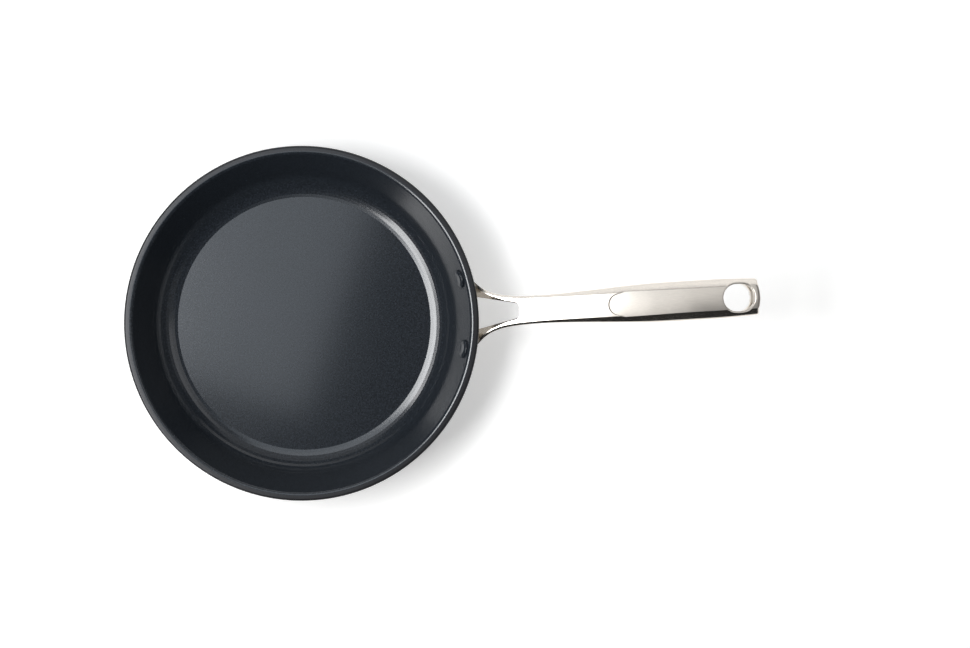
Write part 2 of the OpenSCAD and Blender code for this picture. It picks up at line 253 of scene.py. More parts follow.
# Finishes. In each look, tone is how dark and how light a pattern makes the base colour, relief is
# the depth of its bump, and a patch is a place that is rubbed a little smoother or duller
noiseSpan = {"From Min": 0.3, "From Max": 0.7}  # nearly all of a noise lies between these


def colourAndRelief(material, shader, pattern, look):
    # the pattern tones the base colour and stands up as fine relief
    tone = addNode(material, "ShaderNodeMapRange", inputs={
        "Value": pattern, **noiseSpan, "To Min": look["tone"][0], "To Max": look["tone"][1]})
    colour = addNode(material, "ShaderNodeVectorMath", {"operation": "SCALE"}, {
        0: hexColour(look["base"])[:3], "Scale": tone.outputs["Result"]})
    link(material, colour.outputs["Vector"], shader.inputs["Base Color"])
    bump = addNode(material, "ShaderNodeBump", inputs={
        "Height": pattern, "Strength": look["bump"], "Distance": look["relief"] / 1000})
    link(material, bump.outputs["Normal"], shader.inputs["Normal"])


# Ceramic non-stick coating, sprayed and cured: near black with a cool blue-grey sheen, a fine
# pearly grain in the satin layer and a thin glossier skin that mirrors the softbox in the corner radius
coatingLook = {
    "base": "#1d2126", "tone": (0.55, 1.5), "tint": (0.9, 0.94, 1, 1),
    "grainSize": 1.3,  # real grain is about 0.1 mm, drawn coarser so that it shows
    "grainDetail": 3.0, "grainRoughness": 0.65, "bump": 0.2, "relief": 0.1,
    "roughness": (0.22, 0.27), "patchSize": 60, "patchDetail": 3.0,
    "specular": 0.16, "skin": 1.0, "skinRoughness": 0.155,
}


def makeCoating():
    material, shader = newMaterial("ceramic_nonstick_coating")
    place = addNode(material, "ShaderNodeTexCoord").outputs["Object"]
    grain = addNode(material, "ShaderNodeTexNoise", inputs={
        "Vector": place, "Scale": 1000 / coatingLook["grainSize"],
        "Detail": coatingLook["grainDetail"], "Roughness": coatingLook["grainRoughness"]})
    colourAndRelief(material, shader, grain.outputs["Fac"], coatingLook)
    patches = addNode(material, "ShaderNodeTexNoise", inputs={
        "Vector": place, "Scale": 1000 / coatingLook["patchSize"], "Detail": coatingLook["patchDetail"]})
    rough = addNode(material, "ShaderNodeMapRange", inputs={
        "Value": patches.outputs["Fac"], **noiseSpan,
        "To Min": coatingLook["roughness"][0], "To Max": coatingLook["roughness"][1]})
    link(material, rough.outputs["Result"], shader.inputs["Roughness"])
    shader.inputs["Specular IOR Level"].default_value = coatingLook["specular"]
    shader.inputs["Specular Tint"].default_value = coatingLook["tint"]
    shader.inputs["Coat Weight"].default_value = coatingLook["skin"]
    shader.inputs["Coat Roughness"].default_value = coatingLook["skinRoughness"]
    return material


# Hard-anodised forged aluminium: charcoal with a faint metallic sheen, dry satin, fine blasted grain
anodisedLook = {
    "base": "#27282b", "tone": (0.8, 1.2), "metal": 0.4,
    "grainSize": 0.8, "grainDetail": 2.0, "bump": 0.25, "relief": 0.08,
    "roughness": (0.3, 0.37), "patchDetail": 4.0,
    "patchesPerMetre": 22,  # about 45 mm each
}


def makeAnodised():
    material, shader = newMaterial("hard_anodised_aluminium")
    place = addNode(material, "ShaderNodeTexCoord").outputs["Object"]
    grain = addNode(material, "ShaderNodeTexNoise", inputs={
        "Vector": place, "Scale": 1000 / anodisedLook["grainSize"],
        "Detail": anodisedLook["grainDetail"]})
    colourAndRelief(material, shader, grain.outputs["Fac"], anodisedLook)
    patches = addNode(material, "ShaderNodeTexNoise", inputs={
        "Vector": place, "Scale": anodisedLook["patchesPerMetre"], "Detail": anodisedLook["patchDetail"]})
    rough = addNode(material, "ShaderNodeMapRange", inputs={
        "Value": patches.outputs["Fac"], **noiseSpan,
        "To Min": anodisedLook["roughness"][0], "To Max": anodisedLook["roughness"][1]})
    link(material, rough.outputs["Result"], shader.inputs["Roughness"])
    shader.inputs["Metallic"].default_value = anodisedLook["metal"]
    return material


# Stainless steel, satin polished along the handle: warm light grey metal with soft highlights
# that are broken by very fine lengthwise scratches
steelLook = {
    "tone": (0.93, 1.05), "lineDetail": 4.0, "lineRoughness": 0.6, "relief": 0.05,
    "worn": (-0.03, 0.04),        # what a patch adds to the roughness
    "patchesPerMetre": 45,        # about 22 mm each
    "patchDetail": 3.0,
    "turnedAside": (0.25, 0.45),  # from satin top to polished side, as the face turns aside
}
gripLook = {
    **steelLook, "base": "#d8d2ca", "roughness": 0.368, "side": 0.17,
    "lineWidth": 0.35, "lineLength": 14, "bump": 0.06,
}
castLook = {
    **steelLook, "base": "#d6d1ca", "roughness": 0.26, "side": 0.2,
    "lineWidth": 0.5, "lineLength": 8, "bump": 0.08,
}


def makeSteel(name, look):
    material, shader = newMaterial(name)
    coordinates = addNode(material, "ShaderNodeTexCoord").outputs
    along, across = 1000 / look["lineLength"], 1000 / look["lineWidth"]
    drawn = addNode(material, "ShaderNodeMapping", inputs={
        "Vector": coordinates["Object"], "Scale": (along, across, across)})
    lines = addNode(material, "ShaderNodeTexNoise", inputs={
        "Vector": drawn.outputs["Vector"], "Scale": 1.0,
        "Detail": look["lineDetail"], "Roughness": look["lineRoughness"]})
    colourAndRelief(material, shader, lines.outputs["Fac"], look)
    patches = addNode(material, "ShaderNodeTexNoise", inputs={
        "Vector": coordinates["Object"], "Scale": look["patchesPerMetre"], "Detail": look["patchDetail"]})
    worn = addNode(material, "ShaderNodeMapRange", inputs={
        "Value": patches.outputs["Fac"], **noiseSpan,
        "To Min": look["worn"][0], "To Max": look["worn"][1]})
    # the sides are polished brighter than the satin top and bottom
    facing = addNode(material, "ShaderNodeSeparateXYZ", inputs={"Vector": coordinates["Normal"]})
    aside = addNode(material, "ShaderNodeMath", {"operation": "ABSOLUTE"}, {0: facing.outputs["Y"]})
    polish = addNode(material, "ShaderNodeMapRange", inputs={
        "Value": aside.outputs["Value"],
        "From Min": look["turnedAside"][0], "From Max": look["turnedAside"][1],
        "To Min": look["roughness"], "To Max": look["side"]})
    rough = addNode(material, "ShaderNodeMath", {"operation": "ADD"}, {
        0: worn.outputs["Result"], 1: polish.outputs["Result"]})
    link(material, rough.outputs["Value"], shader.inputs["Roughness"])
    shader.inputs["Metallic"].default_value = 1
    return material


# Magnetic stainless steel disc, turned on a lathe: grey metal with fine rings round the centre
plateLook = {
    "base": "#b9b6b1", "tone": (0.82, 1.1), "roughness": 0.3,
    "ringPitch": 0.6, "ringDetail": 3.0, "bump": 0.3, "relief": 0.06,
}


def makePlateSteel():
    material, shader = newMaterial("turned_magnetic_stainless")
    place = addNode(material, "ShaderNodeTexCoord").outputs["Object"]
    parts = addNode(material, "ShaderNodeSeparateXYZ", inputs={"Vector": place})
    flat = addNode(material, "ShaderNodeCombineXYZ", inputs={
        "X": parts.outputs["X"], "Y": parts.outputs["Y"]})
    radius = addNode(material, "ShaderNodeVectorMath", {"operation": "LENGTH"}, {0: flat.outputs["Vector"]})
    rings = addNode(material, "ShaderNodeTexNoise", {"noise_dimensions": "1D"}, {
        "W": radius.outputs["Value"], "Scale": 1000 / plateLook["ringPitch"],
        "Detail": plateLook["ringDetail"]})
    colourAndRelief(material, shader, rings.outputs["Fac"], plateLook)
    shader.inputs["Metallic"].default_value = 1
    shader.inputs["Roughness"].default_value = plateLook["roughness"]
    return material


coating = makeCoating()
anodised = makeAnodised()
gripSteel = makeSteel("satin_polished_stainless", gripLook)
castSteel = makeSteel("cast_stainless_satin", castLook)
plateSteel = makePlateSteel()
print("finishes made")

# Pan body and coating: both are turned from profiles that share the wall's lines
pan = {
    "rimRadius": 124, "height": 48, "baseLevel": 0.3, "floorLevel": 4.8, "coat": 0.3, "wall": 3,
    "floorRadius": 89.6, "cornerRadius": 21.3, "cornerStart": 8.5, "heelRadius": 16,
    "lipWidth": 3.6, "lipCorner": 2.9, "bead": 1.7, "underLip": 2.5,
    "crown": 0.4, "crownRings": 16,  # the floor rises a little to its middle
    "plateRadius": 80, "plateThick": 1, "plateGap": 0.1,
    "steps": 256, "coatSharp": 5,
}

# the wall runs straight from the inside corner's circle to the lip corner's circle
cornerTurn = math.radians(pan["cornerStart"])
cornerPlace = Vector((pan["floorRadius"] - pan["cornerRadius"] * math.sin(cornerTurn),
                      pan["floorLevel"] + pan["cornerRadius"] * math.cos(cornerTurn)))
lipPlace = Vector((pan["rimRadius"] - pan["lipWidth"], pan["height"] - pan["lipCorner"]))
toLip = lipPlace - cornerPlace
wallSlope = math.degrees(math.atan2(toLip.y, toLip.x)
                         + math.asin((pan["cornerRadius"] + pan["lipCorner"]) / toLip.length))
wallUp = Vector((math.cos(math.radians(wallSlope)), math.sin(math.radians(wallSlope))))
wallOut = Vector((wallUp.y, -wallUp.x))


def wallRadius(depth, z):
    # radius of a wall surface that lies depth outside the corner's centre
    return cornerPlace.x + (depth + wallUp.x * (z - cornerPlace.y)) / wallUp.y


def floorTurn(radius, level):
    # direction in which a circle about the corner's centre crosses a level
    return -90 + math.degrees(math.acos(min(1, (cornerPlace.y - level) / radius)))


def makePanBody():
    inside = pan["cornerRadius"] + pan["coat"]
    outside = inside + pan["wall"]
    low, top, coat, bend = pick(pan, "baseLevel", "height", "coat", "heelRadius")
    seat, roof = pan["plateRadius"] + pan["plateGap"], pan["plateThick"] + pan["plateGap"]
    floor = pan["floorLevel"] - coat
    heel = Vector((wallRadius(outside - bend, low + bend), low + bend))
    # a hollow round joins the outside of the wall to the bead under the lip
    bead = Vector((pan["rimRadius"] - pan["bead"], top - pan["bead"]))
    hollowOff = pan["underLip"] - ((bead - cornerPlace).dot(wallOut) - outside)
    hollowDown = math.sqrt((pan["bead"] + pan["underLip"]) ** 2 - hollowOff ** 2)
    hollow = bead + wallOut * hollowOff - wallUp * hollowDown
    toBead = math.degrees(math.atan2(bead.y - hollow.y, bead.x - hollow.x))
    bm = spinProfile([
        (0, roof), (seat, roof), (seat, low),
        (heel, bend, -90, wallSlope - 90),
        (hollow, pan["underLip"], wallSlope + 90, toBead),
        (bead, pan["bead"], toBead - 180, 90),
        (lipPlace.x, top),
        (lipPlace, pan["lipCorner"] - coat, 90, wallSlope + 90),
        (cornerPlace, inside, wallSlope - 90, floorTurn(inside, floor)),
        (0, floor)], pan["steps"])
    return finishPiece("pan_body_skin", bm, anodised, "anodised_body", "pan_body")


def makeCoatingSkin():
    inside, coat, floor, corner = pick(pan, "cornerRadius", "coat", "floorLevel", "lipCorner")
    crown = [(pan["floorRadius"] * s, floor + pan["crown"] * (1 - s ** 2))
             for s in shares(pan["crownRings"])]
    bm = spinProfile([
        (0, floor - coat),
        (cornerPlace, inside + coat, floorTurn(inside + coat, floor - coat), wallSlope - 90),
        (lipPlace, corner - coat, wallSlope + 90, 90),
        (lipPlace, corner, 90, wallSlope + 90),
        (cornerPlace, inside, wallSlope - 90, pan["cornerStart"] - 90)]
        + crown[-2::-1], pan["steps"])
    return finishPiece("coating_skin", bm, coating, "coating", "nonstick_coating", sharp=pan["coatSharp"])


panBody = makePanBody()
coatingSkin = makeCoatingSkin()
print("pan body and coating turned")

# Induction plate, with ring grooves in its underside
plate = {
    "radius": pan["plateRadius"], "thick": pan["plateThick"], "edge": 0.25, "sharp": 20,
    "grooves": 3, "grooveWidth": 2, "grooveDepth": 0.4,
}


def makePlate():
    edge, half, depth = plate["edge"], plate["grooveWidth"] / 2, plate["grooveDepth"]
    moves = [(0, 0)]
    for i in range(1, plate["grooves"] + 1):
        r = plate["radius"] * i / (plate["grooves"] + 1)
        moves += [(r - half, 0), (r - half / 2, depth), (r + half / 2, depth), (r + half, 0)]
    moves += [((plate["radius"] - edge, edge), edge, -90, 0),
              (plate["radius"], plate["thick"]), (0, plate["thick"])]
    bm = spinProfile(moves, pan["steps"])
    return finishPiece("induction_plate_skin", bm, plateSteel, "plate_steel", "induction_plate",
                       sharp=plate["sharp"])


inductionPlate = makePlate()

# Rivets: a coated head with a shallow dish inside the pan, a domed tail behind the flange
rivet = {
    "pitch": 49, "level": 39, "headRadius": 6.45, "headThick": 1.6, "headLift": 0.22,
    "flat": 4.7, "dish": 0.12, "dishReach": (0.5, 0.8),  # shares of the flat: dish floor, dish edge
    "rimHeight": 0.7, "edge": 0.35, "edgeFrom": -60, "shank": 2.7,
    "tailRadius": 4.2, "tailThick": 2, "tailSeat": 6.2, "tailBevel": 0.2, "tailRim": 0.6, "tailDome": 5.2,
    "steps": 96,
}
rivetRadius = wallRadius(pan["cornerRadius"], rivet["level"])
rivetTurn = math.asin(rivet["pitch"] / 2 / rivetRadius)


def rivetPlace(side):
    return (Matrix.Rotation(side * rivetTurn, 4, "Z")
            @ Matrix.Translation((rivetRadius, 0, rivet["level"]))
            @ Matrix.Rotation(math.radians(180 - wallSlope), 4, "Y"))


def makeRivet(side, name, node):
    head, flat, edge, shank = pick(rivet, "headRadius", "flat", "edge", "shank")
    tail, seat, bevel, dome = pick(rivet, "tailRadius", "tailSeat", "tailBevel", "tailDome")
    under = -rivet["headLift"]
    face, rimLevel = under - rivet["headThick"], under - rivet["rimHeight"]
    dishFloor = face + rivet["dish"]
    inner, outer = rivet["dishReach"]
    domeTurn = math.degrees(math.acos((tail - edge) / dome))
    bm = spinProfile([
        (0, dishFloor), (flat * inner, dishFloor), (flat * outer, face), (flat, face),
        ((head - edge, rimLevel), edge, rivet["edgeFrom"], 0), (head, under),
        (shank, under), (shank, seat),
        (tail - bevel, seat), (tail, seat + bevel), (tail, seat + rivet["tailRim"]),
        ((0, seat + rivet["tailThick"] - dome), dome, domeTurn, 90)], rivet["steps"])
    bmesh.ops.transform(bm, matrix=rivetPlace(side), verts=bm.verts)
    return finishPiece(name, bm, coating, "coated_rivet", node)


rivetLeft = makeRivet(1, "rivet_left_skin", "rivet_left")
rivetRight = makeRivet(-1, "rivet_right_skin", "rivet_right")
print("plate and rivets turned")

# Handle: one set of lines for the fork and the grip
handle = {
    "length": 194.7, "rootDrop": 5.2, "rise": 32, "rootSlope": 25, "endSlope": -1,
    "neckWidth": 19.4, "palmWidth": 27.6, "endWidth": 25.2, "rootWidth": 44.6,
    "neckAt": 38, "palmBack": 63.7, "taperBack": 35.7, "flareLength": 10.4,
    "neckFacet": 1.8, "palmFacet": 5.6, "neckTop": 6.4, "palmTop": 7.8,
    "neckUnder": 5.6, "palmUnder": 8.4, "endUnder": 6, "crown": 0.5,
    "facetSlope": 40, "facetBulge": 0.06, "underPower": 2.5,
    "edgeReach": (0.12, 0.15), "kneeReach": (0.3, 1.6),  # at the neck, at the palm
    "jointAt": 44, "tongue": 16, "shell": 1.5, "gap": 0.03,
}
rim = pan["rimRadius"]
endX = rim + handle["length"]
neckX = rim + handle["neckAt"]
palmX = endX - handle["palmBack"]
taperX = endX - handle["taperBack"]
jointX = rim + handle["jointAt"]
rootX = math.sqrt(rim ** 2 - (handle["rootWidth"] / 2) ** 2)


def topLine(x):
    # level of the top face's shoulders: a curve with a given level and slope at the rim and at the end
    t = (x - rim) / handle["length"]
    rootZ, endZ = pan["height"] - handle["rootDrop"], pan["height"] + handle["rise"]
    slopes = [handle["length"] * math.tan(math.radians(handle[k])) for k in ("rootSlope", "endSlope")]
    return (rootZ * (2 * t ** 3 - 3 * t * t + 1) + endZ * (3 * t * t - 2 * t ** 3)
            + slopes[0] * (t ** 3 - 2 * t * t + t) + slopes[1] * (t ** 3 - t * t))


def palmShare(x):
    return ease((x - neckX) / (palmX - neckX))


def endShare(x):
    return max(0, (x - taperX) / (endX - taperX)) ** 2


def endLoss(x):
    return (handle["palmWidth"] - handle["endWidth"]) / 2 * endShare(x)


def halfWidth(x):
    flare = (handle["rootWidth"] - handle["neckWidth"]) / 2 * fade(x - rootX, handle["flareLength"])
    palm = (handle["palmWidth"] - handle["neckWidth"]) / 2 * palmShare(x)
    return handle["neckWidth"] / 2 + palm - endLoss(x) + flare


def faceHalf(x):
    # half the width of the top face, between its shoulders
    return (halfWidth(x) - handle["neckFacet"]
            - (handle["palmFacet"] - handle["neckFacet"]) * palmShare(x) + endLoss(x))


def topHeight(x):
    return handle["neckTop"] + (handle["palmTop"] - handle["neckTop"]) * palmShare(x)


def underHeight(x):
    return (handle["neckUnder"] + (handle["palmUnder"] - handle["neckUnder"]) * palmShare(x)
            - (handle["palmUnder"] - handle["endUnder"]) * endShare(x))


def seamLevel(x):
    return topLine(x) - topHeight(x)


def crownHeight(x, y):
    # height of the slightly crowned top face above the seam
    return topHeight(x) + handle["crown"] * (1 - min(1, abs(y) / faceHalf(x)) ** 2)


def sideCorners(x, trim=0):
    # seam, knee and shoulder of the top half's side, as (y, height above the seam)
    w, h, t = halfWidth(x) - trim, topHeight(x) - trim, faceHalf(x) - trim
    bulge = (w - t) * handle["facetBulge"]
    drop = (w - t - bulge) * math.tan(math.radians(handle["facetSlope"]))
    return [(w, 0), (w - bulge, h - drop), (t, h)]


def reachAt(x, name):
    # how far a side edge is rounded, from neck to palm
    small, large = handle[name]
    return small + (large - small) * palmShare(x)


def underCurve(x, steps, trim=0, inner=0):
    # bottom half from the seam round to the middle, or to an inner edge
    w, h, p = halfWidth(x) - trim, underHeight(x) - trim, 2 / handle["underPower"]
    last = math.acos(min(1, inner / w) ** (1 / p))
    angles = [last * s for s in shares(steps)]
    return [(w * math.cos(a) ** p if a < quarter - tiny else 0, -h * math.sin(a) ** p) for a in angles]


# Cast fork with its flange
fork = {
    "gapLength": 28.6, "gapRoot": 22, "gapEnd": 9.8, "gapRound": 4, "gapPower": 4,
    # beside the gap the top falls away in a facet, the valley; next to the pan the whole top dips
    "valleyRun": 8.6, "valleyLength": 8, "valleyLeast": 0.8, "valleySlope": (47, 2, 6),
    "rootDip": 2.8, "dipRun": 2.6, "topLeast": 0.8, "wallLeast": 3,
    # at the root the prongs follow the flange's round face and swell into a fillet
    "flatFrom": 128, "sunk": 1.5, "rootFillet": 2.2, "filletSteps": 5, "leaving": (0.35, 0.7),
    "topSwell": [0.1, 0.2, 0.4, 0.7, 0.9], "wallSwell": [1, 0.9, 0.5, 0.15],
    "searchFrom": 121, "searches": 6,
    "tongueStep": 1e-3, "tongueInset": 0.35,
    "crownSteps": 8, "underSteps": 20, "wallSteps": 4,
    "gapStations": 26, "tipStations": 8, "neckStations": 12,
    "mirrorMerge": 1e-3,
}
flange = {
    "width": 66, "height": 17, "drop": 6, "thick": 3, "seatGap": 0.15,
    "corner": 7, "cornerSteps": 8, "edge": 0.8, "edgeSteps": 4,
    "slices": 44, "crossCuts": (-0.5, 0, 0.5),  # where the flat blank is cut so that it can bend
    "boreRadius": 2.85, "spotRadius": 4.5, "spotDepth": 0.05, "boreFrom": -6, "boreTo": 22, "boreSteps": 48,
}
flangeIn = pan["cornerRadius"] + pan["coat"] + pan["wall"] + flange["seatGap"]
flangeOut = flangeIn + flange["thick"]
gapTip = rim + fork["gapLength"]
gapRoundX = gapTip - fork["gapRound"]


def tipShare(x):
    # 0 along the gap, rising to 1 over its round tip
    return min(1, max(0, (x - gapTip + fork["gapRound"]) / fork["gapRound"]))


def gapHalf(x):
    side = fork["gapRoot"] / 2 - (fork["gapRoot"] - fork["gapEnd"]) / 2 * (x - rim) / fork["gapLength"]
    return side * (1 - tipShare(x) ** fork["gapPower"]) ** (1 / fork["gapPower"])


def valleyWidth(x):
    full = max(fork["valleyLeast"], fork["valleyRun"] * fade(x - rim, fork["valleyLength"]))
    return full * (1 - tipShare(x) ** 2)


def prongPath(x):
    # section of one prong in three parts: from the crest across the top and down the side, under
    # to the gap, and up the gap's wall; past the gap's tip the caller leaves the wall out
    gap, shoulder = gapHalf(x), faceHalf(x)
    seam, knee, edge = sideCorners(x)
    dip = fork["rootDip"] * fade(x - rim, fork["dipRun"])
    crest = min(gap + valleyWidth(x), shoulder - fork["topLeast"])
    steps = fork["crownSteps"]
    across = [crest + (shoulder - crest) * s for s in shares(steps)[:-1]]
    top = [(y, crownHeight(x, y) - dip) for y in across]
    top += [(edge[0], edge[1] - dip), (knee[0], knee[1] - dip / 2), seam]
    top = softened(top, {steps: reachAt(x, "edgeReach"), steps + 1: reachAt(x, "kneeReach")})
    under = underCurve(x, fork["underSteps"], inner=gap)[1:]
    bottom = under[-1][1]
    under[-1] = (gap, bottom)
    steep, more, run = fork["valleySlope"]
    slope = math.tan(math.radians(steep + more * fade(x - rim, run)))
    corner = max(bottom + fork["wallLeast"], crownHeight(x, crest) - dip - (crest - gap) * slope)
    wall = [(gap, bottom + (corner - bottom) * s) for s in shares(fork["wallSteps"])[1:]]
    return top, under, wall


def flangeX(y, z):
    # where the flange's outer face stands at a place across the pan
    return math.sqrt(wallRadius(flangeOut, z) ** 2 - y * y)


def prongRing(station, share=1, near=0, growth=0):
    # ring of a prong: share is how far it has left the flange's round face for the flat station,
    # near its distance from that face, and growth the swell of the root fillet
    top, under, wall = prongPath(station)
    if share == 1:
        return [(station, y, seamLevel(station) + z) for y, z in top + under + wall]
    swell = ([0] * (len(top) - len(fork["topSwell"])) + fork["topSwell"]
             + [1] * len(under) + fork["wallSwell"])
    points = []
    for j, weight in enumerate(swell):
        x = fork["searchFrom"]
        for _ in range(fork["searches"]):
            path = [point for part in prongPath(x) for point in part]
            y, z = path[j]
            before, after = path[j - 1], path[(j + 1) % len(path)]
            along = Vector((after[0] - before[0], after[1] - before[1])).normalized()
            y, z = y - along.y * growth * weight, z + along.x * growth * weight + seamLevel(x)
            x = flangeX(y, z) + near
            x += (station - x) * share
        points.append((x, y, z))
    return points


def makeProngs():
    first, fillet = fork["flatFrom"], fork["rootFillet"]
    rings = [prongRing(first, 0, -fork["sunk"], fillet)]
    for s in shares(fork["filletSteps"]):
        a = quarter * s
        rings.append(prongRing(first, 0, fillet * (1 - math.cos(a)), fillet * (1 - math.sin(a))))
    rings += [prongRing(first, share, fillet) for share in fork["leaving"]]
    rings += [prongRing(first + (gapRoundX - first) * s) for s in shares(fork["gapStations"])]
    rings += [prongRing(gapRoundX + fork["gapRound"] * math.sin(quarter * s) ** 0.5)
              for s in shares(fork["tipStations"])[1:]]
    bm = bmesh.new()
    rootEdges, tipEdges = loftRings(bm, rings)
    capRing(bm, rootEdges)
    # past the gap's tip only the outer path goes on
    order = bm.verts.layers.int["order"]
    outer = len(rings[0]) - fork["wallSteps"]
    last = [e for e in tipEdges if max(v[order] for v in e.verts) < outer
            and abs(e.verts[0][order] - e.verts[1][order]) == 1]
    for s in shares(fork["neckStations"])[1:]:
        x = gapTip + (jointX - gapTip) * s
        last = extrudeTo(bm, last, prongRing(x)[:outer])
    # the tongue inside the grip
    inset = handle["shell"] + fork["tongueInset"]
    for x in (jointX + fork["tongueStep"], jointX + handle["tongue"]):
        w, level = halfWidth(x), seamLevel(x)
        ring = []
        top, under, wall = prongPath(x)
        for y, z in top + under:
            h = topHeight(x) if z > 0 else underHeight(x)
            ring.append((x, y * (w - inset) / w, level + z * ((h - inset) / h)))
        last = extrudeTo(bm, last, ring)
    ends = {v for e in last for v in e.verts}
    low = min(ends, key=lambda v: v.co.z)
    high = max(ends, key=lambda v: v.co.z)
    capRing(bm, last + [bm.edges.new((low, high))])
    mirrored = bmesh.ops.duplicate(bm, geom=everything(bm))["geom"]
    bmesh.ops.scale(bm, vec=(1, -1, 1), verts=onlyVerts(mirrored))
    return finishPiece("fork_prongs", bm, castSteel, None, merge=fork["mirrorMerge"])


def makeFlange():
    # a flat blank with round corners and a soft rim, bent to the pan's wall
    bm = bmesh.new()
    w, h = flange["width"] / 2, flange["height"] / 2
    middle = pan["height"] - flange["drop"] - h
    corners = [bm.verts.new((y, z, 0)) for y, z in ((-w, -h), (w, -h), (w, h), (-w, h))]
    bm.faces.new(corners)
    bmesh.ops.bevel(bm, geom=corners, offset=flange["corner"], offset_type="OFFSET", affect="VERTICES",
                    segments=flange["cornerSteps"], profile=0.5, material=-1)
    made = bmesh.ops.extrude_face_region(bm, geom=bm.faces[:])["geom"]
    bmesh.ops.translate(bm, vec=(0, 0, flange["thick"]), verts=onlyVerts(made))
    bmesh.ops.recalc_face_normals(bm, faces=bm.faces)
    rimEdges = [e for e in bm.edges if abs(e.verts[0].co.z - e.verts[1].co.z) < tiny
                and e.verts[0].co.z > flange["thick"] / 2]
    bmesh.ops.bevel(bm, geom=rimEdges, offset=flange["edge"], offset_type="OFFSET", affect="EDGES",
                    segments=flange["edgeSteps"], profile=0.5, material=-1)
    cuts = [((-w + 2 * w * s, 0, 0), (1, 0, 0)) for s in shares(flange["slices"])[1:-1]]
    cuts += [((0, h * share, 0), (0, 1, 0)) for share in flange["crossCuts"]]
    for place, direction in cuts:
        bmesh.ops.bisect_plane(bm, geom=everything(bm), plane_co=place, plane_no=direction,
                               dist=meshing["merge"])
    for v in bm.verts:
        y, z, depth = v.co
        r = wallRadius(flangeIn + depth, middle + z)
        v.co = (math.sqrt(r * r - y * y), y, middle + z)
    return finishPiece("fork_flange", bm, castSteel, None)


def spotCutter(side):
    # a pin as wide as the rivet's bore, and wider from the tail's seat on
    bore, spot, low, high = pick(flange, "boreRadius", "spotRadius", "boreFrom", "boreTo")
    seat = rivet["tailSeat"] - flange["spotDepth"]
    bm = spinProfile([(0, low), (bore, low), (bore, seat), (spot, seat), (spot, high), (0, high)],
                     flange["boreSteps"])
    bmesh.ops.transform(bm, matrix=rivetPlace(side), verts=bm.verts)
    return finishPiece("spot_cutter", bm, castSteel, None)


def makeBracket():
    bracket = makeProngs()
    cutWith(bracket, [makeFlange()], "UNION")
    cutWith(bracket, [spotCutter(side) for side in (1, -1)])
    bracket.name = "handle_bracket_skin"
    bracket.data.name = bracket.name
    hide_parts("handle_bracket")
    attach(bracket, "root")
    return bracket


bracket = makeBracket()
print("bracket cast")

# Grip shells and the sleeve of the hanging hole
grip = {
    "stepAt": 89.9, "stepHeight": 0.55, "stepReach": 8, "stepCurve": (0.55, 8), "stepRamp": 0.7,
    "sweepPower": 6,  # how fast the step's sweep dies away in front of it and behind it
    "recover": 0.6,   # share of the way from the step to the end in which the thumb face comes back up
    "endBow": 1.3, "endRound": 1.6, "endWall": 1, "endStep": 0.02,
    "crownSteps": 28, "underSteps": 24, "edgeSteps": 4,
    "frontStations": 30, "rampStations": 4, "backStations": 48, "endStations": 8,
    "beside": (0.997, 0.0015),  # two more stations close to the step keep its crease narrow
}
hole = {
    "back": 16.1, "radius": 9.5, "wall": 1.1, "edge": 0.5, "cutGap": 0.02,
    "mouthRun": 3.1, "mouthDepth": 4, "mouthPower": 1.6, "mouthStep": 0.01, "shiftSoft": 0.35,
    "low": 45, "high": 90,  # levels that are clear of the handle, under it and over it
    "steps": 96, "mouthSteps": 8, "edgeSteps": 4,
}
stepX = rim + grip["stepAt"]
holeX = endX - hole["back"]
roundX = endX - grip["endRound"]


def gripStations():
    # (x, share of the step's sweep, share of its ramp's spread, how deep the thumb face lies,
    # what the end's rounding takes off, 1 where the grip is hollow)
    power = grip["sweepPower"]
    start = jointX + handle["gap"]
    before, after = grip["beside"]
    stations = [(start + (stepX - start) * s, s ** power, 0, 0, 0, 1)
                for s in shares(grip["frontStations"])[:-1] + [before, 1]]
    stations += [(stepX + grip["stepRamp"] * s, 1, s, grip["stepHeight"] * ease(s), 0, 1)
                 for s in shares(grip["rampStations"])[1:]]
    first = stepX + grip["stepRamp"]
    last = roundX - grip["endWall"]
    for s in [after] + shares(grip["backStations"])[1:]:
        drop = grip["stepHeight"] * (1 - ease(s / grip["recover"]))
        stations.append((first + (last - first) * s, (1 - s) ** power, (1 - s) ** power, drop, 0, 1))
    stations.append((last + grip["endStep"], 0, 0, 0, 0, 0))
    for s in shares(grip["endStations"]):
        trim = grip["endRound"] * (1 - math.cos(quarter * s))
        stations.append((roundX + grip["endRound"] * math.sin(quarter * s), 0, 0, 0, trim, 0))
    return stations


def ringPlace(x, share, sweep, spread):
    # the thumb step sweeps back towards the sides with a ramp of even width, and the free end is bowed
    soft, power = grip["stepCurve"]
    curve = soft * share ** 2 + (1 - soft) * share ** power
    lean = grip["stepReach"] * (2 * soft * share + (1 - soft) * power * share ** (power - 1)) / faceHalf(x)
    back = sweep * grip["stepReach"] * curve + spread * grip["stepRamp"] * (math.hypot(1, lean) - 1)
    bow = grip["endBow"] * ease((x - holeX) / (endX - holeX)) * share ** 2
    return x + back - bow


